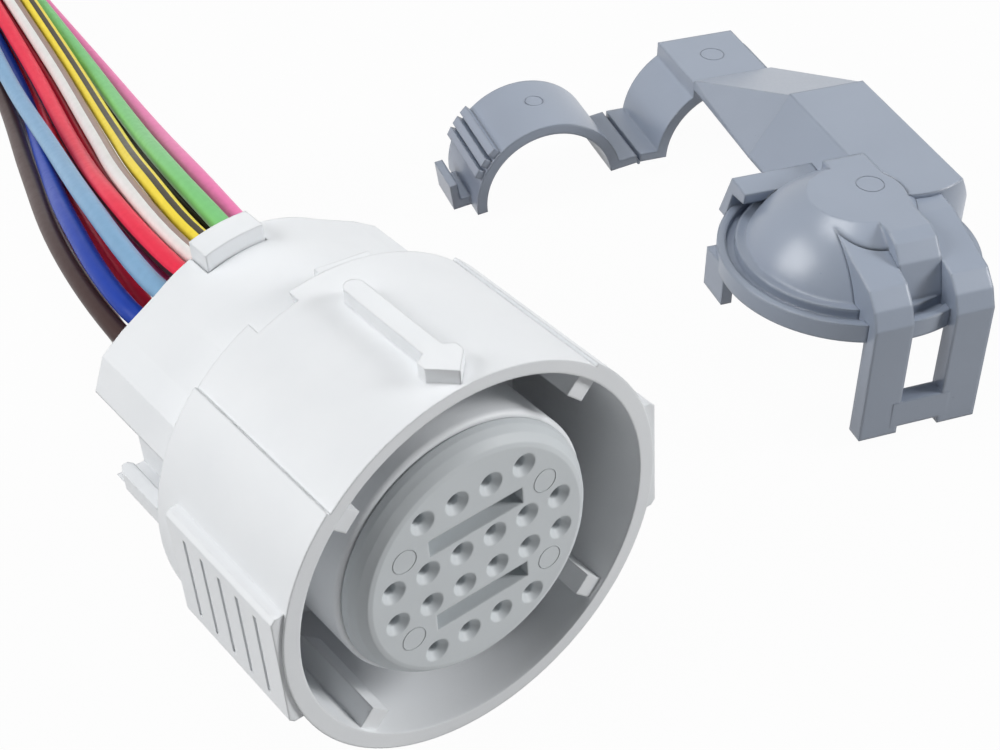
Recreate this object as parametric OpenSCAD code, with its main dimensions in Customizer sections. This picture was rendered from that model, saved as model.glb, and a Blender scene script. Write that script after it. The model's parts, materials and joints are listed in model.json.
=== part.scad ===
/* [Shell] */
// Inner radius of the round skirt
skirt_r = 20.6; // [19.5:0.1:24]
// Wall of the skirt
skirt_wall = 1.8; // [1.4:0.1:2.6]
// Length of the skirt along the mating axis
skirt_len = 23; // [20:0.5:30]
// Depth of the shallow panel on top of the skirt
panel_depth = 0.4; // [0.2:0.1:0.8]
// Half angle of that panel
panel_angle = 44; // [30:1:55]
// Outer radius of the rounded hub
hub_r = 17.3; // [16.8:0.1:18.5]
// Half width of the hub across its side flats
hub_flat = 15.5; // [15:0.1:16.2]
// Length of the hub behind the skirt
hub_len = 18; // [15:0.5:24]
// Wall of the hub
hub_wall = 1.7; // [1.3:0.1:2]
// Depth of the guide keys inside the skirt
key_depth = 2.4; // [1:0.1:3]
// Width of the guide keys
key_w = 2.4; // [1.5:0.1:4]
// Length of the guide keys
key_len = 17; // [10:0.5:18]
// Height of the raised arrow
arrow_h = 1.6; // [0.8:0.1:2.5]
// Width of the arrow's shaft
arrow_w = 2.2; // [1.5:0.1:3]
// Half height of the grip pads
pad_half = 7; // [6:0.2:9]
// Height of the grip pads over the skirt
pad_rise = 0.4; // [0.3:0.1:2]
// Length of the grip pads
pad_len = 19; // [14:0.2:20]
// Number of grooves in each grip pad
pad_grooves = 5; // [2:1:7]
// Length of the latch nibs behind the skirt
nib_len = 13; // [8:0.5:16]

/* [Tower] */
// Outer radius of the tower
tower_r = 15; // [14.4:0.1:16]
// Wall of the sleeve round the face plate
sleeve_wall = 1.3; // [1:0.1:1.6]
// Setback of the sleeve behind the mouth
sleeve_set = 2.6; // [2:0.1:3.2]
// Thickness of the face plate with its spigot
face_t = 4.6; // [4.2:0.1:6]
// Radius of the face plate's flat front
face_flat = 12.6; // [12.4:0.1:13]
// Inset of the face plate's edge from the tower wall
face_inset = 0.5; // [0.3:0.1:0.8]
// Depth of the lead-ins
lead_in_depth = 0.75; // [0.5:0.05:1.4]
// Pitch of the cavities along a row
pitch = 4; // [3.6:0.05:4.1]
// Distance between the two middle rows
row_gap = 4.3; // [3.8:0.05:4.6]
// Distance from a middle row to its outer row
outer_gap = 6.6; // [6:0.05:6.8]
// Radius of a lead-in at the face
lead_in_r = 1.35; // [1.1:0.05:1.5]
// Radius of a cavity
cavity_r = 1.3; // [1.25:0.05:1.45]
// Length of the two slots in the face
slot_len = 11.2; // [8:0.2:12]
// Width of the two slots in the face
slot_w = 2; // [1.2:0.1:2.2]
// Height of the ring seal over the tower wall
seal_proud = 0.8; // [0.4:0.1:1.2]
// Depth of the groove that holds the ring seal
seal_groove = 0.9; // [0.5:0.1:1.2]
// Width of the ring seal
seal_w = 2.4; // [1.6:0.1:4]

/* [Leads] */
// Outer diameter of a lead
lead_d = 2.4; // [2:0.1:2.4]

/* [Cover] */
// Wall of the cover
cover_t = 1.6; // [1.2:0.1:2]
// Radius of the round rim
rim_r = 16; // [15.5:0.2:18]
// Height of the rim
rim_h = 2.4; // [1.8:0.1:3.2]
// Base radius of the dome
dome_r = 12.8; // [11.5:0.1:13.4]
// Height of the full dome over the rim, before its top is flattened
dome_h = 9; // [8.4:0.1:10]
// Height of the arm's flat roof over the rim plane
roof_h = 10; // [9.6:0.1:11]
// Width of the arm's flat roof
roof_w = 10.6; // [9:0.2:13]
// Sideways place of the arm's roof
roof_u = 8.5; // [7.5:0.1:9.5]
// Length of the level roof from the dome's centre
roof_len = 23; // [20:0.5:28]
// Width of the latch legs
leg_w = 5; // [4:0.1:6]
// Drop of the latch legs below the rim plane
leg_drop = 13.6; // [12:0.2:16]
// Gap between the latch legs
leg_gap = 5.6; // [5:0.2:8]

/* [Clamp] */
// Inner radius of the conduit clamp
clamp_r = 9.5; // [8.5:0.1:10.5]
// Wall of the conduit clamp
clamp_t = 1.5; // [1.2:0.1:2]
// Width of the conduit clamp
clamp_w = 13; // [10:0.5:16]
// Width of the hinge web on each half
web_w = 2.6; // [1.8:0.1:4]
// Thickness of the hinge web
web_t = 1.2; // [0.8:0.1:1.6]
// Angle that the open strap hangs below level
strap_open = 9; // [6:0.5:9]

/* [Hidden] */
$fn = 96;
// Clearance between pieces that seat in each other
fit_gap = 0.15;
// Clearance of the ring seal on its groove
seat_gap = 0.02;
// Overlap that joins features of one moulding
weld = 0.3;
skirt_out = skirt_r + skirt_wall;
rear_wall = skirt_wall;
hub_end = skirt_len + hub_len;
hub_in_r = hub_r - hub_wall;
hub_in_flat = hub_flat - hub_wall;
spigot_r = tower_r - sleeve_wall - fit_gap;
face_r = tower_r - face_inset;
sleeve_round = 0.6;
// Tower wall that a mating part slides on, ahead of the ring seal
grip_len = 12;
seal_y = sleeve_set + sleeve_round + grip_len;
flange_t = 2;
flange_rim = 0.2;
flange_y = seal_y + seal_w;
body_end = skirt_len + hub_len / 2;
grommet_t = 4.4;
grommet_y = body_end + fit_gap;
retainer_y = grommet_y + grommet_t;
exit_y = hub_end - 0.5;
// The frame's origin lies on the axis, halfway along the tower wall
mouth_y = -(sleeve_set + sleeve_round + grip_len / 2);
table_z = -skirt_out;
lead_r = lead_d / 2;
hole_r = lead_r + 0.05;
// Depth of a contact's socket, and of a plug inside its cavity
socket_depth = 8;
plug_depth = 6;
plug_head = 1.2;

// Cavity rows as [x index list, z]
top_z = row_gap / 2 + outer_gap;
mid_z = row_gap / 2;
inner_x = [-1.5, -0.5, 0.5, 1.5];
outer_x = [-2.5, -1.5, -0.5, 0.5, 1.5, 2.5];
cavities = concat(
  [for (i = inner_x) [i * pitch, top_z]],
  [for (i = outer_x) [i * pitch, mid_z]],
  [for (i = outer_x) [i * pitch, -mid_z]],
  [for (i = inner_x) [i * pitch, -top_z]]);
used = [0, 1, 2, 3, 4, 5, 6, 7, 8, 9, 10, 11, 14];
unused = [12, 13, 15, 16, 17, 18, 19];

// Lead routes behind the connector: [x, z] at each station behind the mouth
station_y = [52, 75, 105, 140, 187];
brown_route = [[-10.5, 3.5], [-6, 0], [3, -8], [13.2, -17.7], [28.4, -18.9]];
white_route = [[-10, 0], [-4.7, -2.6], [3.7, -10.8], [14.2, -20.1], [29.5, -21.2]];
blue_route = [[-8, 6], [-3.6, 2.4], [5.4, -7.6], [16.2, -17.6], [31.2, -18.9]];
red_route = [[-6.5, 2], [-2.2, -0.6], [6.5, -10.4], [16.9, -20.1], [32.2, -21.2]];
light_blue_route = [[-5.5, 8.5], [-1, 4.6], [6.8, -5], [14.8, -14.8], [29.6, -16.5]];
magenta_route = [[-3.8, 5.2], [0.4, 0.6], [9.2, -10.2], [19.5, -20.1], [34.8, -21.2]];
red_black_route = [[-2, 9], [2.5, 4.2], [10, -6.9], [18.6, -15.6], [32.3, -16.5]];
dark_red_route = [[0.5, 5.6], [4, 1], [11.9, -9.4], [20.6, -17.6], [33.6, -18.8]];
tan_route = [[1, 9.2], [5.6, 4.4], [13.4, -6.6], [21.9, -15.4], [35, -16.5]];
yellow_route = [[4, 8.8], [8.3, 4.3], [16, -7], [24.4, -15.8], [37.6, -16.5]];
black_route = [[4.6, 3.2], [9.2, 0.7], [17, -9.6], [24.2, -20.1], [37.4, -21.2]];
green_route = [[6.9, 6.8], [11, 3.2], [18.7, -7.6], [26.6, -17.2], [39, -18.8]];
pink_route = [[9.6, 5], [13.6, 1.6], [21.3, -9.4], [28.6, -19.4], [40.2, -21.2]];

// Cover placement: yaw about the vertical, then a small roll
cover_yaw = -18;
cover_roll = 4;
cover_x = 69;
cover_y = 17.3;
leg_u = 2.4;
leg_back = 2.2;
bar_h = 3.6;
nose_w = leg_gap;
nose_u = leg_u;
nose_front = -13;
elbow_v = 8;
shoulder = 1;
lip_t = 1.1;
leg_out = leg_u + leg_gap / 2 + leg_w;
cover_z = table_z + leg_drop * cos(cover_roll) + leg_out * sin(cover_roll);
sphere_r = (dome_r * dome_r + dome_h * dome_h) / (2 * dome_h);
wall_flare = 5.2;
clamp_v = 47;
ramp_end = clamp_v;
clamp_u = 7;
clamp_out = clamp_r + clamp_t;
split_w = -12;
ridge_w = 1.3;
ridge_inset = 0.3;
ridge_h = 1.1;
ridge_turn = 9;
hinge_half_gap = 0.2;
hinge_u = clamp_u - clamp_out - web_w - hinge_half_gap;
strap_u = 2 * hinge_u - clamp_u;

white_nylon = "#eceef0";
face_grey = "#a9adb0";
cover_grey = "#8893a3";

// Extrudes an upright outline in X and Z from y0 to y1
module along_y(y0, y1) {
  translate([0, y1, 0]) rotate([90, 0, 0]) linear_extrude(y1 - y0) children();
}

// A round bar on the Y direction
module bar_y(r, y0, y1) {
  translate([0, y0, 0]) rotate([-90, 0, 0]) cylinder(r = r, h = y1 - y0);
}

module at_mouth() {
  translate([0, mouth_y, 0]) children();
}

module at_cavity(i) {
  translate([cavities[i][0], 0, cavities[i][1]]) children();
}

// Outline of the hub or of what seats inside it
module hub_outline(r, flat) {
  intersection() {
    circle(r);
    square([2 * flat, 2 * r + 2], center = true);
  }
}

module wedge(half, reach) {
  polygon([[0, 0], [reach * sin(half), reach * cos(half)], [-reach * sin(half), reach * cos(half)]]);
}

module arrow_outline() {
  head_w = 2 * arrow_w;
  head_l = 4;
  tail = 18.3;
  translate([-arrow_w / 2, head_l]) square([arrow_w, tail - head_l - arrow_w / 2]);
  translate([0, tail - arrow_w / 2]) circle(arrow_w / 2);
  polygon([[0, 0.4], [head_w / 2, head_l - 1.2], [head_w / 2, head_l], [arrow_w / 2, head_l + 0.6],
    [-arrow_w / 2, head_l + 0.6], [-head_w / 2, head_l], [-head_w / 2, head_l - 1.2]]);
}

module arrow() {
  intersection() {
    translate([0, 0, skirt_r]) linear_extrude(skirt_wall + arrow_h) arrow_outline();
    bar_y(skirt_out - panel_depth + arrow_h, 0, skirt_len);
  }
}

module grip_pad() {
  face_x = skirt_out + pad_rise;
  start = 0.3;
  groove = 0.5;
  bevel = 0.5;
  plain = 1.8;
  step = pad_len / (pad_grooves + 1);
  difference() {
    along_y(start, start + pad_len) difference() {
      polygon([[skirt_r - 2, -pad_half], [face_x - bevel, -pad_half], [face_x, -pad_half + bevel],
        [face_x, pad_half - bevel], [face_x - bevel, pad_half], [skirt_r - 2, pad_half]]);
      circle(skirt_r + skirt_wall / 2);
    }
    for (i = [1:pad_grooves])
      translate([face_x - groove, start + i * step - groove / 2, -pad_half + plain])
        cube([groove + 1, groove, 2 * (pad_half - plain)]);
  }
}

module guide_key() {
  r1 = skirt_r + weld;
  r0 = skirt_r - key_depth;
  translate([0, 0, -key_w / 2]) linear_extrude(key_w)
    polygon([[r0, 0.6], [r1, 0.6], [r1, key_len], [skirt_r - 0.6, key_len], [r0, key_len - 4]]);
}

// Rail along the hub, above or below the latch nib
module hub_rail(side, up) {
  rail = [[rail_x - 6.5, rail_z], [rail_x, rail_z], [rail_x - 1.7, rail_z + 3.9], [rail_x - 4.4, rail_z + 5.8],
    [rail_x - 9.9, rail_z + 8.8], [rail_x - 10.5, rail_z + 4]];
  along_y(skirt_len - weld, hub_end) polygon([for (p = rail) [side * p[0], up * p[1]]]);
}

module latch_nib() {
  arm_t = 1.6;
  x0 = skirt_r - 1.2;
  y0 = skirt_len - rear_wall;
  translate([0, 0, -1.2]) linear_extrude(2.4)
    polygon([[x0, y0], [x0 + arm_t, y0], [x0 + arm_t, y0 + nib_len - 1], [x0 + arm_t - 0.5, y0 + nib_len],
      [x0 + 0.4, y0 + nib_len], [x0, y0 + nib_len - 0.6]]);
}

rail_x = 18.9;
rail_z = 5.9;
tab_x = [-5.2, 1.8];
tab_top = 19.2;
tab_len = 3.4;

module connector_shell() color(white_nylon) at_mouth() {
  difference() {
    union() {
      bar_y(skirt_out, 0, skirt_len);
      along_y(skirt_len - weld, hub_end) hub_outline(hub_r, hub_flat);
      for (side = [0, 180]) rotate([0, side, 0]) grip_pad();
      for (side = [0, 180]) rotate([0, side, 0]) latch_nib();
      for (side = [-1, 1], up = [-1, 1]) hub_rail(side, up);
    }
    bar_y(skirt_r, -1, skirt_len - rear_wall);
    along_y(skirt_len - rear_wall - 1, hub_end + 1) hub_outline(hub_in_r, hub_in_flat);
    along_y(-1, skirt_len + 1) difference() {
      wedge(panel_angle, 2 * skirt_out);
      circle(skirt_out - panel_depth);
      translate([0, -skirt_out]) square([4 * skirt_out, 2 * hub_r + 2], center = true);
    }
    // Notch for the retainer's tab
    translate([tab_x[0] - fit_gap, hub_end - tab_len - fit_gap, 0])
      cube([tab_x[1] - tab_x[0] + 2 * fit_gap, tab_len + 1, tab_top + 2]);
    // Mould shut-off notch on the rear edge of the skirt
    rotate([0, -17, 0]) translate([-2.5, skirt_len - 1.8, hub_r]) cube([5, 3, 2 * skirt_wall + 4]);
  }
  arrow();
  for (turn = [45, 135, 225, 315]) rotate([0, -turn, 0]) guide_key();
  // Raised land on the rear edge of the skirt
  rotate([0, 8, 0]) translate([-3.2, skirt_len - weld, hub_r - weld])
    cube([6.4, 1.6, skirt_out - hub_r - 0.6]);
}

module inner_body() color(white_nylon) at_mouth() difference() {
  union() {
    rotate([-90, 0, 0]) rotate_extrude() polygon(concat(
      [[0, sleeve_set + sleeve_round], [tower_r - sleeve_wall, sleeve_set + sleeve_round]],
      [[tower_r - sleeve_wall, sleeve_set]],
      [for (a = [90:-15:0])
        [tower_r - sleeve_round + sleeve_round * cos(a), sleeve_set + sleeve_round * (1 - sin(a))]],
      [[tower_r, seal_y], [tower_r - seal_groove, seal_y], [tower_r - seal_groove, flange_y + weld],
        [0, flange_y + weld]]));
    bar_y(tower_r + seal_proud + flange_rim, flange_y, flange_y + flange_t);
    bar_y(min(tower_r, hub_in_flat - fit_gap), flange_y + flange_t - weld, skirt_len);
    along_y(skirt_len - rear_wall - 2, body_end) hub_outline(hub_in_r - fit_gap, hub_in_flat - fit_gap);
  }
  bar_y(spigot_r + fit_gap, sleeve_set - 1, face_t);
  for (i = [0:len(cavities) - 1]) at_cavity(i) bar_y(cavity_r, face_t - 1, body_end + 1);
}

module face_plate() color(face_grey) at_mouth() difference() {
  back = sleeve_set - fit_gap;
  rotate([-90, 0, 0]) rotate_extrude() polygon([[0, 0], [face_flat, 0], [face_flat + 0.5, 0.15],
    [face_r - 0.7, 0.9], [face_r - 0.2, 1.7], [face_r, back], [spigot_r, back], [spigot_r, face_t], [0, face_t]]);
  for (i = [0:len(cavities) - 1]) at_cavity(i) {
    bar_y(lead_in_r / 2, -1, face_t + 1);
    translate([0, -0.01, 0]) rotate([-90, 0, 0])
      cylinder(r1 = lead_in_r, r2 = lead_in_r / 2, h = lead_in_depth);
  }
  for (side = [-1, 1])
    translate([-slot_len / 2, -1, side * (mid_z + outer_gap * 0.44) - slot_w / 2])
      cube([slot_len, 3.4, slot_w]);
}

module ring_seal() color("#c9c6d6") at_mouth() difference() {
  bar_y(tower_r + seal_proud, seal_y + fit_gap, flange_y);
  bar_y(tower_r - seal_groove + seat_gap, seal_y - 1, flange_y + 1);
}

module rear_grommet() color("#7f8a94") at_mouth() difference() {
  along_y(grommet_y, grommet_y + grommet_t - fit_gap)
    hub_outline(hub_in_r - fit_gap, hub_in_flat - fit_gap);
  for (i = [0:len(cavities) - 1]) at_cavity(i) bar_y(hole_r, grommet_y - 1, retainer_y + 1);
}

module seal_retainer() color(white_nylon) at_mouth() difference() {
  union() {
    along_y(retainer_y, exit_y) hub_outline(hub_in_r - fit_gap, hub_in_flat - fit_gap);
    intersection() {
      translate([tab_x[0], hub_end - tab_len, hub_in_r - 4]) cube([tab_x[1] - tab_x[0], tab_len, 9]);
      bar_y(tab_top, hub_end - tab_len, hub_end);
    }
  }
  for (i = [0:len(cavities) - 1]) at_cavity(i) bar_y(hole_r + 0.3, retainer_y - 1, hub_end + 1);
}

module socket_contacts() color("#d9b45a") at_mouth() for (i = used) at_cavity(i) difference() {
  union() {
    bar_y(cavity_r - 0.1, face_t + fit_gap, body_end - 2);
    bar_y(min(lead_r, cavity_r - 0.05), body_end - 3, exit_y);
  }
  bar_y(lead_in_r / 2, face_t - 1, face_t + socket_depth);
}

module cavity_plugs() color("#f2f2ee") at_mouth() for (i = unused) at_cavity(i) {
  bar_y(min(lead_r, cavity_r - 0.05), body_end - plug_depth, exit_y + plug_head);
}

// A plain lead along its route, as an eight sided tube
sides = 8;
function ring_points(p, a) =
  [for (k = [0:sides - 1]) let (t = 360 * k / sides)
    [p[0] + lead_r * cos(t) * cos(a), p[1] - lead_r * cos(t) * sin(a), p[2] + lead_r * sin(t)]];
function run_angle(pts, i) =
  let (p = pts[max(i - 1, 0)], q = pts[min(i + 1, len(pts) - 1)]) i == 0 ? 0 : atan2(q[0] - p[0], q[1] - p[1]);
module lead(cavity, route) {
  pts = concat([[cavities[cavity][0], exit_y, cavities[cavity][1]]],
    [for (i = [0:len(route) - 1]) [route[i][0], station_y[i], route[i][1]]]);
  n = len(pts);
  points = [for (i = [0:n - 1]) each ring_points(pts[i], run_angle(pts, i))];
  walls = [for (i = [0:n - 2], k = [0:sides - 1]) let (j = (k + 1) % sides)
    [i * sides + k, i * sides + j, (i + 1) * sides + j, (i + 1) * sides + k]];
  start = [for (k = [sides - 1:-1:0]) k];
  end = [for (k = [0:sides - 1]) (n - 1) * sides + k];
  at_mouth() polyhedron(points, concat([start, end], walls));
}

module lead_brown() color("#3a2622") lead(4, brown_route);
module lead_white() color("#e6e6e2") lead(10, white_route);
module lead_blue() color("#2340a0") lead(5, blue_route);
module lead_red() color("#d6243c") lead(11, red_route);
module lead_light_blue() color("#7fa3c8") lead(0, light_blue_route);
module lead_magenta() color("#ee5aa0") lead(6, magenta_route);
module lead_red_black() color("#d92e42") lead(1, red_black_route);
module lead_dark_red() color("#b81f30") lead(7, dark_red_route);
module lead_tan() color("#b5a08c") lead(2, tan_route);
module lead_yellow() color("#f0d838") lead(3, yellow_route);
module lead_black() color("#1c1c1e") lead(14, black_route);
module lead_green() color("#68c05a") lead(8, green_route);
module lead_pink() color("#f272ae") lead(9, pink_route);

module at_cover() {
  at_mouth() translate([cover_x, cover_y, cover_z]) rotate([0, 0, cover_yaw]) rotate([0, cover_roll, 0])
    children();
}

// Cross-section of the arm, shrunk inwards for its inside
module arm_outline(shrink, floor_w) {
  top = roof_h - shrink;
  half = roof_w / 2 - shrink * 0.6;
  foot = roof_w / 2 + wall_flare - shrink;
  polygon([[roof_u - half, top], [roof_u + half, top], [roof_u + foot, floor_w], [roof_u - foot, floor_w]]);
}

// The roof where it comes down to the clamp
module ramp_outline(top, bottom, half) {
  translate([clamp_u - half, bottom]) square([2 * half, top - bottom]);
}

// The arm's trough, rounded in plan where it starts beside the dome
module elbow(shrink, floor_w) {
  r = roof_w / 2 + wall_flare - shrink;
  intersection() {
    along_y(elbow_v - r, roof_len + 1) arm_outline(shrink, floor_w);
    union() {
      translate([roof_u, elbow_v, floor_w]) cylinder(r = r, h = 2 * roof_h);
      translate([roof_u - r, elbow_v, floor_w]) cube([2 * r, roof_len, 2 * roof_h]);
    }
  }
}

// The duct's nose, which runs over the dome and down to the rim between the legs
module nose(shrink, floor_w) {
  top = roof_h - shrink;
  front = nose_front + shrink;
  translate([nose_u - nose_w / 2 + shrink, 0, 0]) rotate([90, 0, 90]) linear_extrude(nose_w - 2 * shrink)
    polygon([[elbow_v, top], [front + 4.6, top], [front + 3, top - 0.7], [front + 1.4, top - 2.6],
      [front + 0.2, rim_h + 1], [front, floor_w], [elbow_v, floor_w]]);
}

module ramp(shrink, end_top, end_bottom) {
  hull() {
    along_y(roof_len, roof_len + 0.5) arm_outline(shrink, shrink > 0 ? -1 : rim_h - 0.8);
    along_y(ramp_end - 0.5, ramp_end) ramp_outline(end_top, end_bottom, 6 - shrink);
  }
}

// The bowl, flattened on top where the roof runs over it
module dome_cap(shrink) {
  intersection() {
    translate([0, 0, rim_h + dome_h - sphere_r]) sphere(sphere_r - shrink);
    translate([0, 0, rim_h - (shrink > 0 ? 4 : 0)])
      cylinder(r = dome_r + 1, h = roof_h - rim_h - shrink + (shrink > 0 ? 4 : 0));
  }
}

module cover_inside() {
  translate([0, 0, -1]) cylinder(r = dome_r - cover_t, h = rim_h + 1.2);
  dome_cap(cover_t);
  nose(cover_t, -1);
  elbow(cover_t, -1);
  ramp(cover_t, -cover_t, split_w);
}

// The lower frame of each leg passes in front of the rim
module legs() {
  reach = rim_r + 0.6;
  for (side = [-1, 1])
    translate([leg_u + side * (leg_gap + leg_w) / 2 - leg_w / 2, 0, 0]) rotate([90, 0, 90])
      linear_extrude(leg_w) polygon([[-2, roof_h - 0.6], [-5, roof_h - 0.8], [-reach + 2.8, roof_h - 3.6],
        [-reach + 1, roof_h - 5.4], [-reach, rim_h], [-reach - 0.2, -leg_drop], [-reach + leg_back, -leg_drop],
        [-reach + leg_back, 0], [-dome_r + 1, rim_h], [-2, rim_h]]);
}

// Half ring of the conduit clamp, opening downwards, centred at u
module clamp_half(u, flat_top) {
  translate([u, clamp_v, split_w]) difference() {
    union() {
      bar_y(clamp_out, 0, clamp_w);
      if (flat_top) translate([-clamp_r * 0.62, 0, 0]) cube([clamp_r * 1.24, clamp_w, clamp_out + 0.4]);
    }
    bar_y(clamp_r, -1, clamp_w + 1);
    translate([-2 * clamp_out, -1, -2 * clamp_out]) cube([4 * clamp_out, clamp_w + 2, 2 * clamp_out + fit_gap]);
  }
}

// Stepped ridges on the shoulder of a clamp half
module clamp_ridges(u, side, first) {
  for (step = [0, 1, 2])
    translate([u, clamp_v, split_w]) rotate([0, side * (first + ridge_turn * step), 0])
      translate([-ridge_w / 2, ridge_inset, clamp_out - 0.5])
        cube([ridge_w, clamp_w - 2 * ridge_inset, ridge_h + 0.5]);
}

module hinge_web(u0) {
  translate([u0, clamp_v, split_w + fit_gap]) cube([web_w + weld, clamp_w, web_t]);
}

// Hook lip at the back of the dome, up to the arm's wall
module hook_lip() {
  translate([-10, 0, 0]) rotate([90, 0, 90]) linear_extrude(11)
    polygon([[15.4, 0.4], [13.6, 0.4], [12.2, 4.6], [9.2, 5], [9, 6.4], [12.8, 6.6]]);
}

module cover_dome() color(cover_grey) at_cover() {
  difference() {
    union() {
      cylinder(r = rim_r, h = rim_h - 0.7);
      difference() {
        cylinder(r = rim_r, h = rim_h);
        translate([0, 0, -1]) cylinder(r = rim_r - lip_t, h = rim_h + 2);
      }
      cylinder(r = dome_r + shoulder, h = rim_h + 0.6);
      dome_cap(0);
      nose(0, rim_h - 0.8);
      difference() {
        hook_lip();
        elbow(0, rim_h - 0.8);
      }
      // Small hook under the rim
      translate([-rim_r + 0.4, 2, -4]) cube([1.4, 5, rim_h + 3]);
    }
    cover_inside();
    legs();
    translate([0, 0, -1]) difference() {
      cylinder(r = rim_r - cover_t, h = rim_h - cover_t / 2 + 0.2);
      cylinder(r = dome_r, h = rim_h + 2);
    }
  }
}

module cover_arm() color(cover_grey) at_cover() difference() {
  union() {
    elbow(0, rim_h - 0.8);
    ramp(0, 0, split_w + clamp_out - 0.4);
  }
  cover_inside();
  translate([0, 0, -1]) cylinder(r = rim_r, h = rim_h + 1);
  translate([0, 0, -1]) cylinder(r = dome_r + shoulder, h = rim_h + 1.6);
  dome_cap(0);
  nose(0, rim_h - 0.8);
  legs();
}

module cover_latch() color(cover_grey) at_cover() difference() {
  union() {
    legs();
    translate([leg_u - leg_gap / 2 - 1, -rim_r - 0.8, -leg_drop + 1]) cube([leg_gap + 2, leg_back + 0.2, bar_h]);
  }
  cover_inside();
}

module cover_clamp() color(cover_grey) at_cover() {
  clamp_half(clamp_u, true);
  clamp_ridges(clamp_u, 1, 36);
  hinge_web(hinge_u + hinge_half_gap);
}

module clamp_strap() color(cover_grey) at_cover()
  translate([hinge_u, 0, split_w]) rotate([0, -strap_open, 0]) translate([-hinge_u, 0, -split_w]) {
    clamp_half(strap_u, false);
    clamp_ridges(strap_u, -1, 38);
    hinge_web(hinge_u - hinge_half_gap - web_w - weld);
    // Latch tongue on the free foot
    translate([strap_u - clamp_out - 2.6, clamp_v + 3, split_w + fit_gap]) cube([3.2, 7, 1.4]);
    translate([strap_u - clamp_out - 2.6, clamp_v + 3, split_w + fit_gap]) cube([1.2, 7, 4]);
  }

connector_shell();
inner_body();
face_plate();
ring_seal();
rear_grommet();
seal_retainer();
socket_contacts();
cavity_plugs();
cover_dome();
cover_arm();
cover_latch();
cover_clamp();
clamp_strap();
lead_brown();
lead_white();
lead_blue();
lead_red();
lead_light_blue();
lead_magenta();
lead_red_black();
lead_dark_red();
lead_tan();
lead_yellow();
lead_black();
lead_green();
lead_pink();
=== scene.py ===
"""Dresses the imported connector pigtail.

Gives the solids their finishes, lays the leads as cords, and adds the small marks of moulding.
"""
import json
import logging
import math
from dataclasses import dataclass, field
from enum import Enum
from typing import Any

import bmesh
import bpy
from mathutils import Matrix, Vector

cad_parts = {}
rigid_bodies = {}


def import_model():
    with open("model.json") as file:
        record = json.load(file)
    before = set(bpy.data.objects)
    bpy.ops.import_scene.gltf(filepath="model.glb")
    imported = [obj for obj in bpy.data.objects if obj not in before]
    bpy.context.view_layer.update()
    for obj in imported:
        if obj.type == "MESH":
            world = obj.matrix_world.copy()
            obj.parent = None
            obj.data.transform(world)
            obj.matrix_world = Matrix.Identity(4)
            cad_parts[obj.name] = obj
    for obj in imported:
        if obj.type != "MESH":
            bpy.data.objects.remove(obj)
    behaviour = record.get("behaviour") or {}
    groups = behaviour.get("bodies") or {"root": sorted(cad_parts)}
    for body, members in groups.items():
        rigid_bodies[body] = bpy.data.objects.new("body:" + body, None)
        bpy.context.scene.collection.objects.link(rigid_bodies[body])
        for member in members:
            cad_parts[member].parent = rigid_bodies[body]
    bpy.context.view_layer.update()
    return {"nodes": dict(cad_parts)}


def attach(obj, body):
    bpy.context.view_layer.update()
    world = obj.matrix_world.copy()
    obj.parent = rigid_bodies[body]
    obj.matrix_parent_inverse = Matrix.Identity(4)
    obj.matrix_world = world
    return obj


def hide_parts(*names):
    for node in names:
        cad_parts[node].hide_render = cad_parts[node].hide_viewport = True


LOG = logging.getLogger("connector_pigtail")
MM = 0.001
CONNECTOR_BODY = "connector"
STRAP_BODY = "strap"
# The mouth plane of the connector lies this far along Y from the frame's origin
MOUTH_Y = -9.2
TABLE_Z = -22.4
# Heights of the cavity rows that hold leads
TOP_ROW = 8.75
UPPER_ROW = 2.15
LOWER_ROW = -2.15
NYLON_IOR = 1.53
SILICONE_IOR = 1.41
REARWARD = Vector((0.0, 1.0, 0.0))
UPWARD = Vector((0.0, 0.0, 1.0))
WHITE = (1.0, 1.0, 1.0, 1.0)
# Sockets of a colour Mix node, by index because its names repeat
MIX_SHARE = 0
MIX_FIRST = 6
MIX_SECOND = 7
MIX_COLOUR = 2


class Stripe(Enum):
    """Which way a lead's tracer stripe faces, as a turn round the lead."""

    NONE = -1.0
    RIGHT = 0.13
    FRONT = 0.24
    LEFT = 0.52


def linear(hex_colour: str) -> tuple[float, float, float, float]:
    """Turns an sRGB hex colour into linear RGBA.

    Args:
        hex_colour: The colour as #rrggbb.

    Returns:
        Linear red, green, blue and an alpha of one.
    """
    parts = [int(hex_colour[i:i + 2], 16) / 255 for i in (1, 3, 5)]
    curve = [c / 12.92 if c <= 0.04045 else ((c + 0.055) / 1.055) ** 2.4 for c in parts]
    return (curve[0], curve[1], curve[2], 1.0)


def add_node(
    tree: bpy.types.NodeTree,
    kind: str,
    inputs: dict[Any, Any] | None = None,
    links: dict[Any, bpy.types.NodeSocket] | None = None,
    **settings: Any,
) -> bpy.types.Node:
    """Adds one node with its settings, input values and incoming links.

    Args:
        tree: The node tree that takes the node.
        kind: The node's type name.
        inputs: Values by input name or index.
        links: Source sockets by input name or index.
        **settings: Properties of the node itself.

    Returns:
        The new node.
    """
    node = tree.nodes.new(kind)
    for name, value in settings.items():
        setattr(node, name, value)
    for key, value in (inputs or {}).items():
        node.inputs[key].default_value = value
    for key, socket in (links or {}).items():
        tree.links.new(socket, node.inputs[key])
    return node


def cleared(owner: bpy.types.Material | bpy.types.World) -> bpy.types.NodeTree:
    """Turns on the nodes of a material or world and empties its tree.

    Args:
        owner: The material or world.

    Returns:
        The empty node tree.
    """
    owner.use_nodes = True
    owner.node_tree.nodes.clear()
    return owner.node_tree


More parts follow.
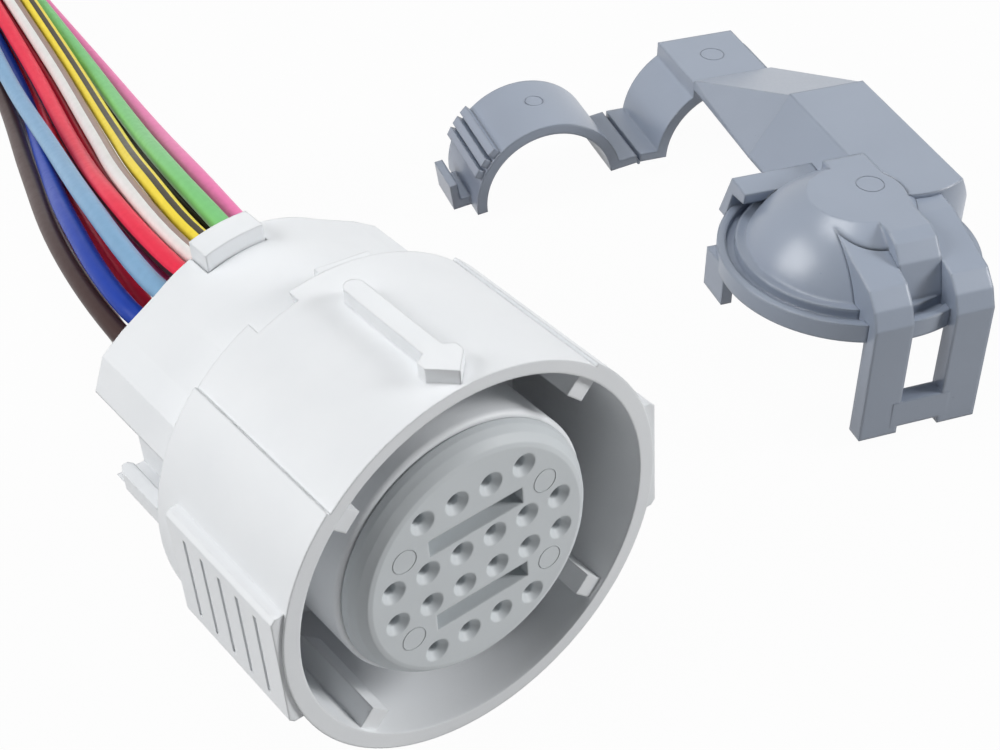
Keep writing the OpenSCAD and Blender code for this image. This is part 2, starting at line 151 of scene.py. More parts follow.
def new_material(name: str) -> tuple[bpy.types.Material, bpy.types.NodeTree, bpy.types.Node]:
    """Makes an empty node material with a Principled shader.

    Args:
        name: The material's name.

    Returns:
        The material, its node tree and its shader node.
    """
    material = bpy.data.materials.new(name)
    tree = cleared(material)
    shader = add_node(tree, "ShaderNodeBsdfPrincipled")
    add_node(tree, "ShaderNodeOutputMaterial", links={"Surface": shader.outputs[0]})
    return material, tree, shader


def noise(
    tree: bpy.types.NodeTree, place: bpy.types.NodeSocket, size_mm: float, detail: float = 3.0
) -> bpy.types.NodeSocket:
    """Adds a noise pattern to a material.

    Args:
        tree: The material's node tree.
        place: The coordinates that the pattern lies on.
        size_mm: About how wide one feature is, in millimetres.
        detail: How many octaves of finer noise it holds.

    Returns:
        The pattern's value.
    """
    scale = 1.0 / (size_mm * MM)
    pattern = add_node(tree, "ShaderNodeTexNoise", {"Scale": scale, "Detail": detail}, {"Vector": place})
    return pattern.outputs["Fac"]


def vary_roughness(
    tree: bpy.types.NodeTree,
    shader: bpy.types.Node,
    pattern: bpy.types.NodeSocket,
    middle: float,
    spread: tuple[float, float],
) -> None:
    """Lets a pattern move a shader's roughness.

    Args:
        tree: The material's node tree.
        shader: The shader.
        pattern: The pattern's value, from nought to one.
        middle: The plain roughness.
        spread: How far the pattern moves it down and up.
    """
    limits = {"To Min": middle - spread[0], "To Max": middle + spread[1]}
    gloss = add_node(tree, "ShaderNodeMapRange", limits, {"Value": pattern})
    tree.links.new(gloss.outputs[0], shader.inputs["Roughness"])


@dataclass(frozen=True)
class MouldedPlastic:
    """An injection moulded plastic: faint flow clouding, spark-eroded grain and soft edges."""

    name: str
    colour: str
    clouded: str
    roughness: float
    ior: float = NYLON_IOR
    sheen: float = 0.3
    # The real grain is about 0.1 mm, drawn coarser so that it shows
    grain_mm: float = 0.45
    grain_depth_mm: float = 0.012
    grain_strength: float = 0.6
    grain_detail: float = 4.0
    # How far the grain moves the roughness down and up
    spread: tuple[float, float] = (0.06, 0.08)
    cloud_mm: float = 9.0
    edge_mm: float = 0.3
    edge_samples: int = 4

    def build(self) -> bpy.types.Material:
        """Builds the node material.

        Returns:
            The material.
        """
        material, tree, shader = new_material(self.name)
        place = add_node(tree, "ShaderNodeTexCoord").outputs["Object"]
        cloud = noise(tree, place, self.cloud_mm)
        tint = add_node(
            tree, "ShaderNodeMix",
            {MIX_FIRST: linear(self.colour), MIX_SECOND: linear(self.clouded)},
            {MIX_SHARE: cloud}, data_type="RGBA")
        tree.links.new(tint.outputs[MIX_COLOUR], shader.inputs["Base Color"])
        grain = noise(tree, place, self.grain_mm, self.grain_detail)
        vary_roughness(tree, shader, grain, self.roughness, self.spread)
        edge = add_node(
            tree, "ShaderNodeBevel", {"Radius": self.edge_mm * MM}, samples=self.edge_samples)
        bump = add_node(
            tree, "ShaderNodeBump",
            {"Strength": self.grain_strength, "Distance": self.grain_depth_mm * MM},
            {"Height": grain, "Normal": edge.outputs[0]})
        tree.links.new(bump.outputs[0], shader.inputs["Normal"])
        shader.inputs["IOR"].default_value = self.ior
        shader.inputs["Specular IOR Level"].default_value = self.sheen
        return material


@dataclass(frozen=True)
class DrawnMetal:
    """A drawn copper alloy: fine marks along the draw, in bright and dull bands."""

    name: str
    colour: str
    roughness: float
    mark_mm: float = 0.15
    # How many times longer than wide a mark is
    mark_stretch: float = 20.0
    # How far the marks move the roughness down and up
    spread: tuple[float, float] = (0.1, 0.15)

    def build(self) -> bpy.types.Material:
        """Builds the node material.

        Returns:
            The material.
        """
        material, tree, shader = new_material(self.name)
        place = add_node(tree, "ShaderNodeTexCoord").outputs["Object"]
        along = add_node(
            tree, "ShaderNodeMapping", {"Scale": (1.0, 1.0 / self.mark_stretch, 1.0)}, {"Vector": place})
        marks = noise(tree, along.outputs[0], self.mark_mm)
        vary_roughness(tree, shader, marks, self.roughness, self.spread)
        shader.inputs["Base Color"].default_value = linear(self.colour)
        shader.inputs["Metallic"].default_value = 1.0
        return material


@dataclass(frozen=True)
class WireInsulation:
    """Extruded thin-wall insulation: smooth, slightly waxy, with an optional tracer stripe."""

    name: str
    colour: str
    tracer: str = "#000000"
    stripe: Stripe = Stripe.NONE
    # Share of the way round the lead that the tracer covers
    stripe_share: float = 0.24
    roughness: float = 0.36
    # How far the wax moves the roughness down and up
    spread: tuple[float, float] = (0.05, 0.1)
    ior: float = 1.53
    sheen: float = 0.12
    wax_mm: float = 1.2
    wax_depth_mm: float = 0.02
    wax_strength: float = 0.4
    # Brightness of the dullest waxy spots, as a share of the plain colour
    wax_dulling: float = 0.86

    def striped(
        self, tree: bpy.types.NodeTree, run: bpy.types.NodeSocket, plain: bpy.types.NodeSocket
    ) -> bpy.types.NodeSocket:
        """Lays the tracer stripe over the plain colour.

        Args:
            tree: The material's node tree.
            run: The lead's UV map, which runs along and round it.
            plain: The colour without the stripe.

        Returns:
            The colour with the stripe.
        """
        split = add_node(tree, "ShaderNodeSeparateXYZ", links={0: run})
        away = add_node(
            tree, "ShaderNodeMath", {1: self.stripe.value}, {0: split.outputs["Y"]},
            operation="SUBTRACT")
        reach = add_node(tree, "ShaderNodeMath", links={0: away.outputs[0]}, operation="ABSOLUTE")
        inside = add_node(
            tree, "ShaderNodeMath", {1: self.stripe_share / 2}, {0: reach.outputs[0]},
            operation="LESS_THAN")
        both = add_node(
            tree, "ShaderNodeMix", {MIX_SECOND: linear(self.tracer)},
            {MIX_SHARE: inside.outputs[0], MIX_FIRST: plain}, data_type="RGBA")
        return both.outputs[MIX_COLOUR]

    def build(self) -> bpy.types.Material:
        """Builds the node material, which reads the lead's own UV map for its stripe.

        Returns:
            The material.
        """
        material, tree, shader = new_material(self.name)
        coords = add_node(tree, "ShaderNodeTexCoord").outputs
        wax = noise(tree, coords["Object"], self.wax_mm)
        base = linear(self.colour)
        dulled = tuple(c * self.wax_dulling for c in base[:3]) + (1.0,)
        tint = add_node(
            tree, "ShaderNodeMix", {MIX_FIRST: base, MIX_SECOND: dulled}, {MIX_SHARE: wax},
            data_type="RGBA")
        colour = tint.outputs[MIX_COLOUR]
        if self.stripe is not Stripe.NONE:
            colour = self.striped(tree, coords["UV"], colour)
        tree.links.new(colour, shader.inputs["Base Color"])
        vary_roughness(tree, shader, wax, self.roughness, self.spread)
        bump = add_node(
            tree, "ShaderNodeBump",
            {"Strength": self.wax_strength, "Distance": self.wax_depth_mm * MM}, {"Height": wax})
        tree.links.new(bump.outputs[0], shader.inputs["Normal"])
        shader.inputs["IOR"].default_value = self.ior
        shader.inputs["Specular IOR Level"].default_value = self.sheen
        return material


def set_material(thing: bpy.types.Object, material: bpy.types.Material) -> None:
    """Puts one material in every slot of an object.

    Args:
        thing: The object.
        material: The material.
    """
    if not thing.data.materials:
        thing.data.materials.append(material)
    for index in range(len(thing.data.materials)):
        thing.data.materials[index] = material


def link_mesh(name: str, mesh: bpy.types.Mesh) -> bpy.types.Object:
    """Makes an object for a mesh and links it to the scene.

    Args:
        name: The object's name.
        mesh: Its mesh.

    Returns:
        The linked object.
    """
    thing = bpy.data.objects.new(name, mesh)
    bpy.context.scene.collection.objects.link(thing)
    return thing


def finished(name: str, bm: bmesh.types.BMesh) -> bpy.types.Mesh:
    """Turns a working mesh into a plain one and frees it.

    Args:
        name: The mesh's name.
        bm: The working mesh.

    Returns:
        The plain mesh.
    """
    mesh = bpy.data.meshes.new(name)
    bm.to_mesh(mesh)
    bm.free()
    return mesh


def shade_smooth(mesh: bpy.types.Mesh) -> None:
    """Shades every face of a mesh smooth."""
    for polygon in mesh.polygons:
        polygon.use_smooth = True


def new_tree(name: str, *values: str) -> tuple[bpy.types.GeometryNodeTree, bpy.types.Node]:
    """Makes a Geometry Nodes tree that takes points and numbers and gives geometry.

    Args:
        name: The tree's name.
        *values: The names of its number inputs.

    Returns:
        The tree and its input node.
    """
    tree = bpy.data.node_groups.new(name, "GeometryNodeTree")
    face = tree.interface
    face.new_socket("Geometry", in_out="INPUT", socket_type="NodeSocketGeometry")
    for value in values:
        face.new_socket(value, in_out="INPUT", socket_type="NodeSocketFloat")
    face.new_socket("Geometry", in_out="OUTPUT", socket_type="NodeSocketGeometry")
    return tree, add_node(tree, "NodeGroupInput")


def set_on_spots(
    tree: bpy.types.GeometryNodeTree,
    spots: bpy.types.NodeSocket,
    shape: bpy.types.NodeSocket,
    material: bpy.types.Material,
) -> None:
    """Ends a tree by setting a shape on every spot, turned to the spot's aim.

    Args:
        tree: The tree.
        spots: The points, which carry their aim.
        shape: The shape, which stands along Z.
        material: The material of the result.
    """
    aim = add_node(tree, "GeometryNodeInputNamedAttribute", {"Name": "aim"}, data_type="FLOAT_VECTOR")
    turned = add_node(
        tree, "FunctionNodeAlignRotationToVector", links={"Vector": aim.outputs[0]}, axis="Z")
    copies = add_node(
        tree, "GeometryNodeInstanceOnPoints",
        links={"Points": spots, "Instance": shape, "Rotation": turned.outputs[0]})
    solid = add_node(tree, "GeometryNodeRealizeInstances", links={0: copies.outputs[0]})
    dressed = add_node(
        tree, "GeometryNodeSetMaterial", {"Material": material}, {"Geometry": solid.outputs[0]})
    add_node(tree, "NodeGroupOutput", links={0: dressed.outputs[0]})


def aimed_spots(name: str, spots: list[tuple[Vector, Vector]]) -> bpy.types.Mesh:
    """Makes the seed points for a Geometry Nodes tree.

    Args:
        name: The mesh's name.
        spots: The place and aim of every point.

    Returns:
        The points, with their aim as an attribute.
    """
    mesh = bpy.data.meshes.new(name)
    mesh.from_pydata([place for place, _ in spots], [], [])
    attribute = mesh.attributes.new("aim", "FLOAT_VECTOR", "POINT")
    for entry, (_, aim) in zip(attribute.data, spots):
        entry.vector = aim
    return mesh


def grow(
    name: str,
    seeds: bpy.types.Mesh,
    tree: bpy.types.GeometryNodeTree,
    values: dict[str, float],
    material: bpy.types.Material,
) -> bpy.types.Object:
    """Runs a Geometry Nodes tree on seed points and keeps the result as a plain mesh.

    Args:
        name: The finished piece's name.
        seeds: The points that the tree reads.
        tree: The node tree.
        values: The tree's named inputs.
        material: The material of the result.

    Returns:
        The finished piece, with no modifier left on it.
    """
    holder = link_mesh(f"{name}_seeds", seeds)
    modifier = holder.modifiers.new("grow", "NODES")
    modifier.node_group = tree
    for item in tree.interface.items_tree:
        if item.in_out == "INPUT" and item.name in values:
            modifier[item.identifier] = values[item.name]
    bpy.context.view_layer.update()
    ready = holder.evaluated_get(bpy.context.evaluated_depsgraph_get())
    mesh = bpy.data.meshes.new_from_object(ready)
    mesh.name = name
    bpy.data.objects.remove(holder)
    thing = link_mesh(name, mesh)
    set_material(thing, material)
    return thing


@dataclass
class Lead:
    """One insulated lead: its place at the retainer, its route and its finish."""

    name: str
    cavity: tuple[float, float]
    route: list[tuple[float, float]]
    finish: WireInsulation
    radius: float = 1.2
    # How far behind the mouth the lead leaves the retainer and passes each point of its route
    exit_y: float = 40.5
    stations: tuple[float, ...] = (52.0, 75.0, 105.0, 140.0, 187.0)
    sides: int = 16
    steps: int = 7

    def knots(self) -> list[Vector]:
        """Gives the route's listed points in metres.

        Returns:
            The points, from the retainer to the bare end.
        """
        rows = [(self.cavity[0], self.exit_y, self.cavity[1])]
        rows += [(x, y, z) for (x, z), y in zip(self.route, self.stations)]
        return [Vector((x, y + MOUTH_Y, z)) * MM for x, y, z in rows]

    def path(self) -> list[Vector]:
        """Smooths the route into close points, leaving the retainer straight.

        Returns:
            The points of the lead's centre line.
        """
        knots = self.knots()
        slopes = [REARWARD]
        for i in range(1, len(knots)):
            before = knots[i - 1]
            after = knots[min(i + 1, len(knots) - 1)]
            slopes.append((after - before) / (after.y - before.y))
        points = [knots[0]]
        for i in range(len(knots) - 1):
            span = knots[i + 1].y - knots[i].y
            for step in range(1, self.steps + 1):
                t = step / self.steps
                point = (
                    knots[i] * (2 * t ** 3 - 3 * t ** 2 + 1)
                    + slopes[i] * span * (t ** 3 - 2 * t ** 2 + t)
                    + knots[i + 1] * (3 * t ** 2 - 2 * t ** 3)
                    + slopes[i + 1] * span * (t ** 3 - t ** 2))
                point.z = max(point.z, (TABLE_Z + self.radius) * MM)
                points.append(point)
        return points

    def rings(self, bm: bmesh.types.BMesh, path: list[Vector]) -> list[list[bmesh.types.BMVert]]:
        """Sets a ring of vertices round every point of the path.

        Args:
            bm: The working mesh that takes them.
            path: The points of the centre line.

        Returns:
            The rings, from the retainer to the bare end.
        """
        turns = [2 * math.pi * k / self.sides for k in range(self.sides)]
        rings = []
        for i, point in enumerate(path):
            aim = REARWARD
            if i:
                aim = (path[min(i + 1, len(path) - 1)] - path[i - 1]).normalized()
            side = aim.cross(UPWARD).normalized()
            top = side.cross(aim)
            around = [side * math.cos(turn) + top * math.sin(turn) for turn in turns]
            rings.append([bm.verts.new(point + self.radius * MM * out) for out in around])
        return rings

    def tube(self, path: list[Vector]) -> bpy.types.Mesh:
        """Sweeps a round section along the path, with a UV map that runs along and round it.

        Args:
            path: The points of the centre line.

        Returns:
            The closed tube.
        """
        travelled = [0.0]
        for before, after in zip(path, path[1:]):
            travelled.append(travelled[-1] + (after - before).length)
        bm = bmesh.new()
        uv = bm.loops.layers.uv.new("run")
        rings = self.rings(bm, path)
        for i in range(len(rings) - 1):
            for k in range(self.sides):
                j = (k + 1) % self.sides
                face = bm.faces.new((rings[i][k], rings[i + 1][k], rings[i + 1][j], rings[i][j]))
                places = ((i, k), (i + 1, k), (i + 1, k + 1), (i, k + 1))
                for loop, (row, turn) in zip(face.loops, places):
                    loop[uv].uv = (travelled[row] / travelled[-1], turn / self.sides)
        bm.faces.new(list(reversed(rings[0])))
        bm.faces.new(rings[-1])
        bmesh.ops.recalc_face_normals(bm, faces=bm.faces)
        mesh = finished(f"{self.name}_cord", bm)
        shade_smooth(mesh)
        return mesh

    def build(self) -> tuple[bpy.types.Object, list[Vector]]:
        """Makes the cord that stands for the lead's solid.

        Returns:
            The cord and its centre line.
        """
        path = self.path()
        thing = link_mesh(f"{self.name}_cord", self.tube(path))
        set_material(thing, self.finish.build())
        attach(thing, CONNECTOR_BODY)
        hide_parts(f"lead_{self.name}")
        LOG.info("lead %s", thing.name)
        return thing, path


def loose_leads() -> list[Lead]:
    """Lists the leads with their cavities and their routes, as across and up at each station.

    Returns:
        The leads.
    """
    return [
        Lead(
            "brown", (-10, UPPER_ROW),
            [(-10.9, 3.2), (-6.9, 0), (2, -8.1), (13, -16.2), (25, -18.9)],
            WireInsulation("dark_brown_pvc", "#43302e")),
        Lead(
            "white", (-10, LOWER_ROW),
            [(-10, 0), (-5.4, -2.6), (3.1, -10.8), (14.2, -18.7), (26.3, -21.2)],
            WireInsulation("white_pvc", "#e6e6e2")),
        Lead(
            "blue", (-6, UPPER_ROW),
            [(-9, 5.2), (-4.7, 2.4), (4.6, -7.5), (16.1, -16), (27.7, -18.9)],
            WireInsulation("blue_pvc", "#2444a8")),
        Lead(
            "red", (-6, LOWER_ROW),
            [(-6.4, 2.6), (-2.2, 0.8), (6.9, -8.9), (18.4, -17.5), (29, -21.2)],
            WireInsulation("red_pvc", "#f0324e")),
        Lead(
            "light_blue", (-6, TOP_ROW),
            [(-6.1, 8.2), (-2, 4.6), (5.9, -5), (14.5, -13.3), (26.4, -16.5)],
            WireInsulation("light_blue_pvc", "#86aed0")),
        Lead(
            "magenta", (-2, UPPER_ROW),
            [(-3.3, 5.1), (0.8, 1.1), (9.1, -10.5), (20.6, -19), (31.6, -21.2)],
            WireInsulation("magenta_pvc", "#f868ac")),
        Lead(
            "red_black", (-2, TOP_ROW),
            [(-2.7, 8), (0.7, 4.2), (9.2, -6.9), (18.8, -14.1), (29.1, -16.5)],
            WireInsulation("red_black_pvc", "#f0344f", "#3a2a30", Stripe.LEFT, 0.16)),
        Lead(
            "dark_red", (2, UPPER_ROW),
            [(1.2, 4.9), (3.6, 0.8), (11.7, -9.5), (21.2, -16.4), (30.4, -18.8)],
            WireInsulation("crimson_pvc", "#c4203a")),
        Lead(
            "tan", (2, TOP_ROW),
            [(0, 7.7), (3.4, 4.4), (12.6, -6.6), (22.1, -13.9), (31.8, -16.5)],
            WireInsulation("white_tan_pvc", "#ecebe8", "#9b857f", Stripe.RIGHT, 0.22)),
        Lead(
            "yellow", (6, TOP_ROW),
            [(2.8, 7.3), (6.1, 4.3), (15.3, -7), (24.7, -14.3), (34.4, -16.5)],
            WireInsulation("yellow_pvc", "#fae34c", "#453f33", Stripe.FRONT, 0.11)),
        Lead(
            "black", (6, LOWER_ROW),
            [(6.4, 2.9), (9.4, 0.4), (18.3, -10.3), (27, -18.6), (34.2, -21.2)],
            WireInsulation("black_pvc", "#2a2a2c")),
        Lead(
            "green", (6, UPPER_ROW),
            [(6.1, 6), (9.8, 3.2), (18.5, -7.6), (27.4, -15.7), (35.8, -18.8)],
            WireInsulation("green_pvc", "#82cc84")),
        Lead(
            "pink", (10, UPPER_ROW),
            [(9, 4.4), (12.7, 1.6), (21.3, -9.4), (29.7, -17.9), (37, -21.2)],
            WireInsulation("pink_pvc", "#fa84bb")),
    ]


@dataclass
class LeadBundle:
    """The loose leads behind the retainer, with the copper showing at their cut ends."""

    leads: list[Lead] = field(default_factory=loose_leads)
    strand_radius: float = 0.18
    strand_reach: float = 0.1
    strand_sides: int = 10
    # Strands round the middle one, and how far from it they lie, in strand radii
    outer_strands: int = 6
    outer_spread: float = 2.1
    copper: DrawnMetal = DrawnMetal("tinned_copper_strand", "#c98d62", 0.35)

    def strand_tree(self, material: bpy.types.Material) -> bpy.types.GeometryNodeTree:
        """Builds the tree that sets a bundle of strands on every cut end.

        Args:
            material: The strands' material.

        Returns:
            The node tree, with the strand radius and reach as named inputs.
        """
        tree, given = new_tree("strand_ends", "Strand radius", "Strand reach")
        radius = given.outputs["Strand radius"]
        spread = add_node(
            tree, "ShaderNodeMath", {1: self.outer_spread}, {0: radius}, operation="MULTIPLY")
        ring = add_node(
            tree, "GeometryNodeMeshCircle", {"Vertices": self.outer_strands},
            {"Radius": spread.outputs[0]})
        centre = add_node(tree, "GeometryNodeMeshLine", {"Count": 1})
        spots = add_node(tree, "GeometryNodeJoinGeometry")
        tree.links.new(ring.outputs[0], spots.inputs[0])
        tree.links.new(centre.outputs[0], spots.inputs[0])
        strand = add_node(
            tree, "GeometryNodeMeshCylinder", {"Vertices": self.strand_sides},
            {"Radius": radius, "Depth": given.outputs["Strand reach"]})
        bundle = add_node(
            tree, "GeometryNodeInstanceOnPoints",
            links={"Points": spots.outputs[0], "Instance": strand.outputs[0]})
        set_on_spots(tree, given.outputs[0], bundle.outputs[0], material)
        return tree

    def strands(self, paths: list[list[Vector]]) -> bpy.types.Object:
        """Makes the copper strands at the cut ends, as one plain mesh.

        Args:
            paths: The centre lines of the leads.

        Returns:
            The strands.
        """
        ends = [(path[-1], (path[-1] - path[-2]).normalized()) for path in paths]
        values = {"Strand radius": self.strand_radius * MM, "Strand reach": self.strand_reach * MM}
        copper = self.copper.build()
        seeds = aimed_spots("cut_ends", ends)
        return grow("copper_strands", seeds, self.strand_tree(copper), values, copper)

    def build(self) -> None:
        """Makes every lead and the strands at their ends."""
        paths = [lead.build()[1] for lead in self.leads]
        strands = self.strands(paths)
        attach(strands, CONNECTOR_BODY)
        LOG.info("piece %s", strands.name)


@dataclass
class EjectorMarks:
    """The faint round witness marks that ejector pins leave on a moulding."""

    name: str
    body: str
    slot: str
    spots: list[tuple[Vector, Vector]]
    radius: float = 1.35
    wire: float = 0.06
    ring_sides: int = 40
    wire_sides: int = 8

    def tree(self, material: bpy.types.Material) -> bpy.types.GeometryNodeTree:
        """Builds the tree that lays a thin ring on every spot.

        Args:
            material: The rings' material.

        Returns:
            The node tree, with the ring and wire radii as named inputs.
        """
        tree, given = new_tree(self.name, "Ring radius", "Wire radius")
        loop = add_node(
            tree, "GeometryNodeCurvePrimitiveCircle", {"Resolution": self.ring_sides},
            {"Radius": given.outputs["Ring radius"]})
        wire = add_node(
            tree, "GeometryNodeCurvePrimitiveCircle", {"Resolution": self.wire_sides},
            {"Radius": given.outputs["Wire radius"]})
        ring = add_node(
            tree, "GeometryNodeCurveToMesh",
            links={"Curve": loop.outputs[0], "Profile Curve": wire.outputs[0]})
        set_on_spots(tree, given.outputs[0], ring.outputs[0], material)
        return tree

    def build(self, material: bpy.types.Material) -> None:
        """Makes the rings and lets them ride on their body.

        Args:
            material: The rings' material.
        """
        values = {"Ring radius": self.radius * MM, "Wire radius": self.wire * MM}
        seeds = aimed_spots(f"{self.name}_spots", self.spots)
        thing = grow(self.name, seeds, self.tree(material), values, material)
        shade_smooth(thing.data)
        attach(thing, self.body)
        LOG.info("piece %s", thing.name)


@dataclass
class Connector:
    """The round connector: finishes for its solids, and the marks on its face plate."""

    nodes: dict[str, bpy.types.Object]
    mark_across: float = 8.4
    mark_up: float = 5.3
    white: MouldedPlastic = MouldedPlastic("moulded_white_nylon", "#eef0f2", "#e4e7ea", 0.42)
    grey: MouldedPlastic = MouldedPlastic("moulded_grey_nylon", "#d4d9dc", "#cacfd2", 0.45)
    seal: MouldedPlastic = MouldedPlastic(
        "lilac_silicone", "#cdc9dc", "#c2bed2", 0.5, SILICONE_IOR, edge_mm=0.5)
    grommet: MouldedPlastic = MouldedPlastic(
        "grey_silicone", "#828c96", "#78828c", 0.55, SILICONE_IOR, edge_mm=0.4)
    contacts: DrawnMetal = DrawnMetal("tinned_brass", "#d9b45a", 0.3)

    def build(self) -> None:
        """Gives each solid its finish and adds the face plate's marks."""
        white = self.white.build()
        grey = self.grey.build()
        for name in ("connector_shell", "inner_body", "seal_retainer", "cavity_plugs"):
            set_material(self.nodes[name], white)
        set_material(self.nodes["face_plate"], grey)
        set_material(self.nodes["ring_seal"], self.seal.build())
        set_material(self.nodes["rear_grommet"], self.grommet.build())
        set_material(self.nodes["socket_contacts"], self.contacts.build())
        spots = []
        for across in (-1, 1):
            for up in (-1, 1):
                place = Vector((across * self.mark_across, MOUTH_Y, up * self.mark_up)) * MM
                spots.append((place, -REARWARD))
        EjectorMarks("face_marks", CONNECTOR_BODY, "grey_nylon", spots).build(grey)


@dataclass
class WireCover:
    """The grey wire cover with its folding clamp strap: finishes, hinge film and ejector marks."""

    nodes: dict[str, bpy.types.Object]
    place: tuple[float, float, float] = (69.0, 8.1, -8.12)
    yaw: float = -18.0
    roll: float = 4.0
    # Places in the cover's own frame: across, along and up
    roof_marks: tuple[tuple[float, float, float], ...] = ((2.6, 1.5, 10.0), (7.2, 54.2, -0.6))
    strap_mark: tuple[float, float, float] = (-20.43, 54.2, -3.19)
    hinge: tuple[float, float, float] = (-6.8, 53.5, -12.0)
    roof_mark_radius: float = 1.7
    strap_mark_radius: float = 1.3
    film_length: float = 13.0
    film_radius: float = 0.24
    film_sides: int = 20
    finish: MouldedPlastic = MouldedPlastic(
        "moulded_slate_nylon", "#96a0b0", "#8e98a8", 0.3, sheen=0.7, edge_mm=0.55)

    def frame(self) -> Matrix:
        """Gives the cover's own frame.

        Returns:
            The frame as a matrix, in metres.
        """
        yaw = Matrix.Rotation(math.radians(self.yaw), 4, "Z")
        roll = Matrix.Rotation(math.radians(self.roll), 4, "Y")
        return Matrix.Translation(Vector(self.place) * MM) @ yaw @ roll

    def hinge_film(self, here: Matrix) -> bpy.types.Object:
        """Makes the living hinge's thin film as a bead on the fold line, so it fits at every angle.

        Args:
            here: The cover's own frame.

        Returns:
            The film.
        """
        along = Matrix.Translation(Vector(self.hinge) * MM) @ Matrix.Rotation(math.pi / 2, 4, "X")
        radius = self.film_radius * MM
        bm = bmesh.new()
        bmesh.ops.create_cone(
            bm, cap_ends=True, segments=self.film_sides, radius1=radius, radius2=radius,
            depth=self.film_length * MM, matrix=here @ along)
        mesh = finished("hinge_film", bm)
        for polygon in mesh.polygons:
            polygon.use_smooth = len(polygon.vertices) == 4
        return link_mesh("hinge_film", mesh)

    def build(self) -> None:
        """Gives the cover and the strap their finish and adds the hinge film and the marks."""
        slate = self.finish.build()
        for name in ("cover_dome", "cover_arm", "cover_latch", "cover_clamp", "clamp_strap"):
            set_material(self.nodes[name], slate)
        here = self.frame()
        film = self.hinge_film(here)
        set_material(film, slate)
        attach(film, CONNECTOR_BODY)
        LOG.info("piece %s", film.name)
        up = (here.to_3x3() @ UPWARD).normalized()
        spots = [(here @ (Vector(mark) * MM), up) for mark in self.roof_marks]
        EjectorMarks(
            "cover_marks", CONNECTOR_BODY, "cover_nylon", spots, self.roof_mark_radius).build(slate)
        spot = here @ (Vector(self.strap_mark) * MM)
        EjectorMarks(
            "strap_marks", STRAP_BODY, "cover_nylon", [(spot, up)], self.strap_mark_radius).build(slate)


@dataclass(frozen=True)
class Lamp:
    """A square soft light that faces the object, in metres and watts."""

    name: str
    place: tuple[float, float, float]
    side: float
    power: float
    target: tuple[float, float, float] = (0.03, 0.03, 0.0)

    def build(self) -> None:
        """Adds the light to the scene."""
        data = bpy.data.lights.new(self.name, "AREA")
        data.size = self.side
        data.energy = self.power
        light = bpy.data.objects.new(self.name, data)
        light.location = self.place
        aim = Vector(self.target) - Vector(self.place)
        light.rotation_euler = aim.to_track_quat("-Z", "Y").to_euler()
        bpy.context.scene.collection.objects.link(light)


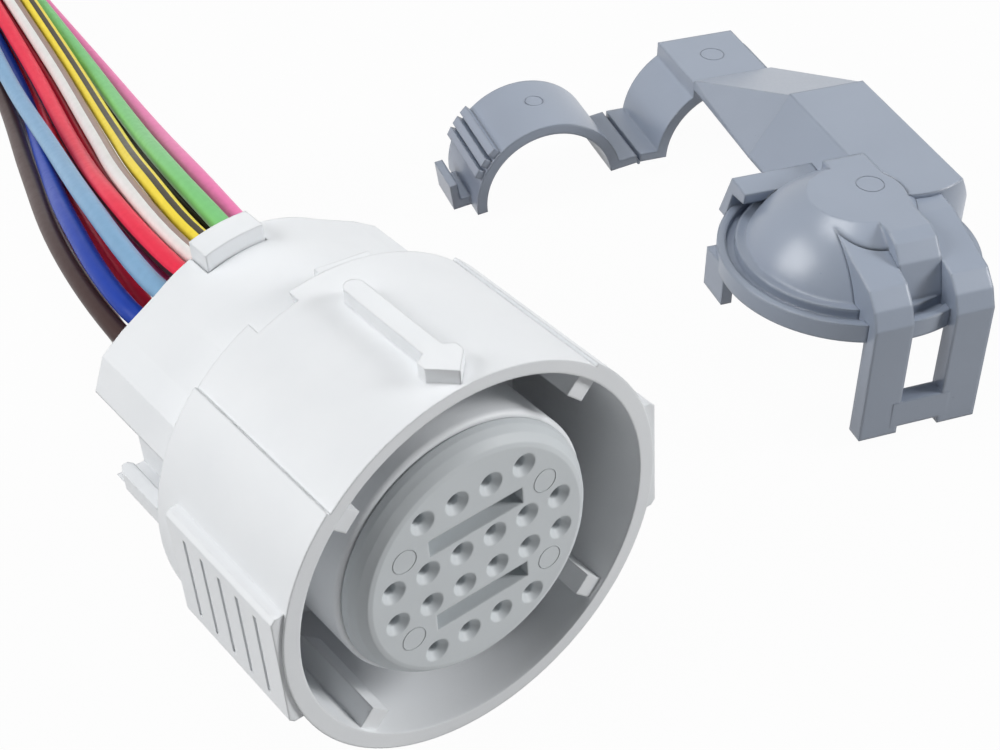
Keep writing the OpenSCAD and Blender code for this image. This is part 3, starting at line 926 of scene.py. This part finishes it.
@dataclass
class Studio:
    """The pale floor, the soft lights and the camera."""

    eye: tuple[float, float, float] = (-69.35, -113.72, 127.64)
    azimuth: float = -35.055
    elevation: float = 39.834
    roll: float = -4.233
    focal_px: float = 1835.0
    image_width: int = 1000
    sensor_mm: float = 36.0
    # The nearest and farthest that the camera sees, in metres
    near: float = 0.005
    far: float = 20.0
    # Half the floor's side, and how far it lies under the lowest point, in metres
    floor_half: float = 3.0
    floor_drop: float = 0.0001
    floor_paint: str = "#b4b4b4"
    # Share of plain white in what the floor shows, so that a faint shadow stays
    floor_white: float = 0.97
    # Strength of the surround's light on the object, which the camera sees at one
    fill: float = 0.05
    lamps: tuple[Lamp, ...] = (
        Lamp("key", (0.8, -0.62, 0.42), 0.35, 8.4),
        Lamp("top", (0.0, 0.12, 0.86), 0.4, 3.0),
        Lamp("left", (-0.6, 0.3, 0.45), 0.5, 4.4),
    )

    def camera(self) -> None:
        """Sets the camera at the photograph's viewing angle."""
        az = math.radians(self.azimuth)
        el = math.radians(self.elevation)
        turn = math.radians(self.roll)
        back = Vector((math.sin(az) * math.cos(el), -math.cos(az) * math.cos(el), math.sin(el)))
        level = Vector((math.cos(az), math.sin(az), 0.0))
        upright = back.cross(level)
        right = level * math.cos(turn) + upright * math.sin(turn)
        up = upright * math.cos(turn) - level * math.sin(turn)
        data = bpy.data.cameras.new("camera")
        data.sensor_width = self.sensor_mm
        data.lens = self.focal_px * self.sensor_mm / self.image_width
        data.clip_start = self.near
        data.clip_end = self.far
        camera = bpy.data.objects.new("camera", data)
        turned = Matrix((right, up, back)).transposed().to_4x4()
        camera.matrix_world = Matrix.Translation(Vector(self.eye) * MM) @ turned
        bpy.context.scene.collection.objects.link(camera)
        bpy.context.scene.camera = camera

    def looked_at(self, tree: bpy.types.NodeTree) -> bpy.types.NodeSocket:
        """Gives a value of one on rays that show the surround itself or its reflection.

        Args:
            tree: The node tree that takes the nodes.

        Returns:
            The value's socket.
        """
        rays = add_node(tree, "ShaderNodeLightPath").outputs
        mirrored = add_node(
            tree, "ShaderNodeMath", links={0: rays["Is Camera Ray"], 1: rays["Is Glossy Ray"]},
            operation="ADD")
        through = add_node(
            tree, "ShaderNodeMath", links={0: mirrored.outputs[0], 1: rays["Is Transmission Ray"]},
            operation="ADD", use_clamp=True)
        return through.outputs[0]

    def floor(self) -> None:
        """Lays a pale floor that shows white to the camera and keeps a faint shadow."""
        bm = bmesh.new()
        bmesh.ops.create_grid(bm, x_segments=1, y_segments=1, size=self.floor_half)
        bmesh.ops.translate(bm, verts=bm.verts, vec=(0.0, 0.0, TABLE_Z * MM - self.floor_drop))
        floor = link_mesh("floor", finished("floor", bm))
        material = bpy.data.materials.new("white_sweep")
        tree = cleared(material)
        paint = add_node(tree, "ShaderNodeBsdfDiffuse", {"Color": linear(self.floor_paint)})
        glow = add_node(tree, "ShaderNodeEmission", {"Color": WHITE, "Strength": 1.0})
        seen = add_node(
            tree, "ShaderNodeMath", {1: self.floor_white}, {0: self.looked_at(tree)},
            operation="MULTIPLY")
        both = add_node(
            tree, "ShaderNodeMixShader",
            links={0: seen.outputs[0], 1: paint.outputs[0], 2: glow.outputs[0]})
        add_node(tree, "ShaderNodeOutputMaterial", links={"Surface": both.outputs[0]})
        set_material(floor, material)

    def world(self) -> None:
        """Fills the shadows with an even pale surround that the camera sees as white."""
        world = bpy.data.worlds.new("surround")
        bpy.context.scene.world = world
        tree = cleared(world)
        level = add_node(
            tree, "ShaderNodeMapRange", {"To Min": self.fill, "To Max": 1.0},
            {"Value": self.looked_at(tree)})
        sky = add_node(
            tree, "ShaderNodeBackground", {"Color": WHITE}, {"Strength": level.outputs[0]})
        add_node(tree, "ShaderNodeOutputWorld", links={"Surface": sky.outputs[0]})

    def build(self) -> None:
        """Makes the floor, the surround and the lights."""
        self.floor()
        self.world()
        for lamp in self.lamps:
            lamp.build()
        bpy.context.scene.view_settings.view_transform = "Standard"


def main() -> None:
    """Builds the camera and cords first, then the finishes, marks and studio."""
    logging.basicConfig(level=logging.INFO)
    for thing in list(bpy.data.objects):
        bpy.data.objects.remove(thing)
    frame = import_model()
    studio = Studio()
    studio.camera()
    LeadBundle().build()
    Connector(frame["nodes"]).build()
    WireCover(frame["nodes"]).build()
    studio.build()


if __name__ == "__main__":
    main()
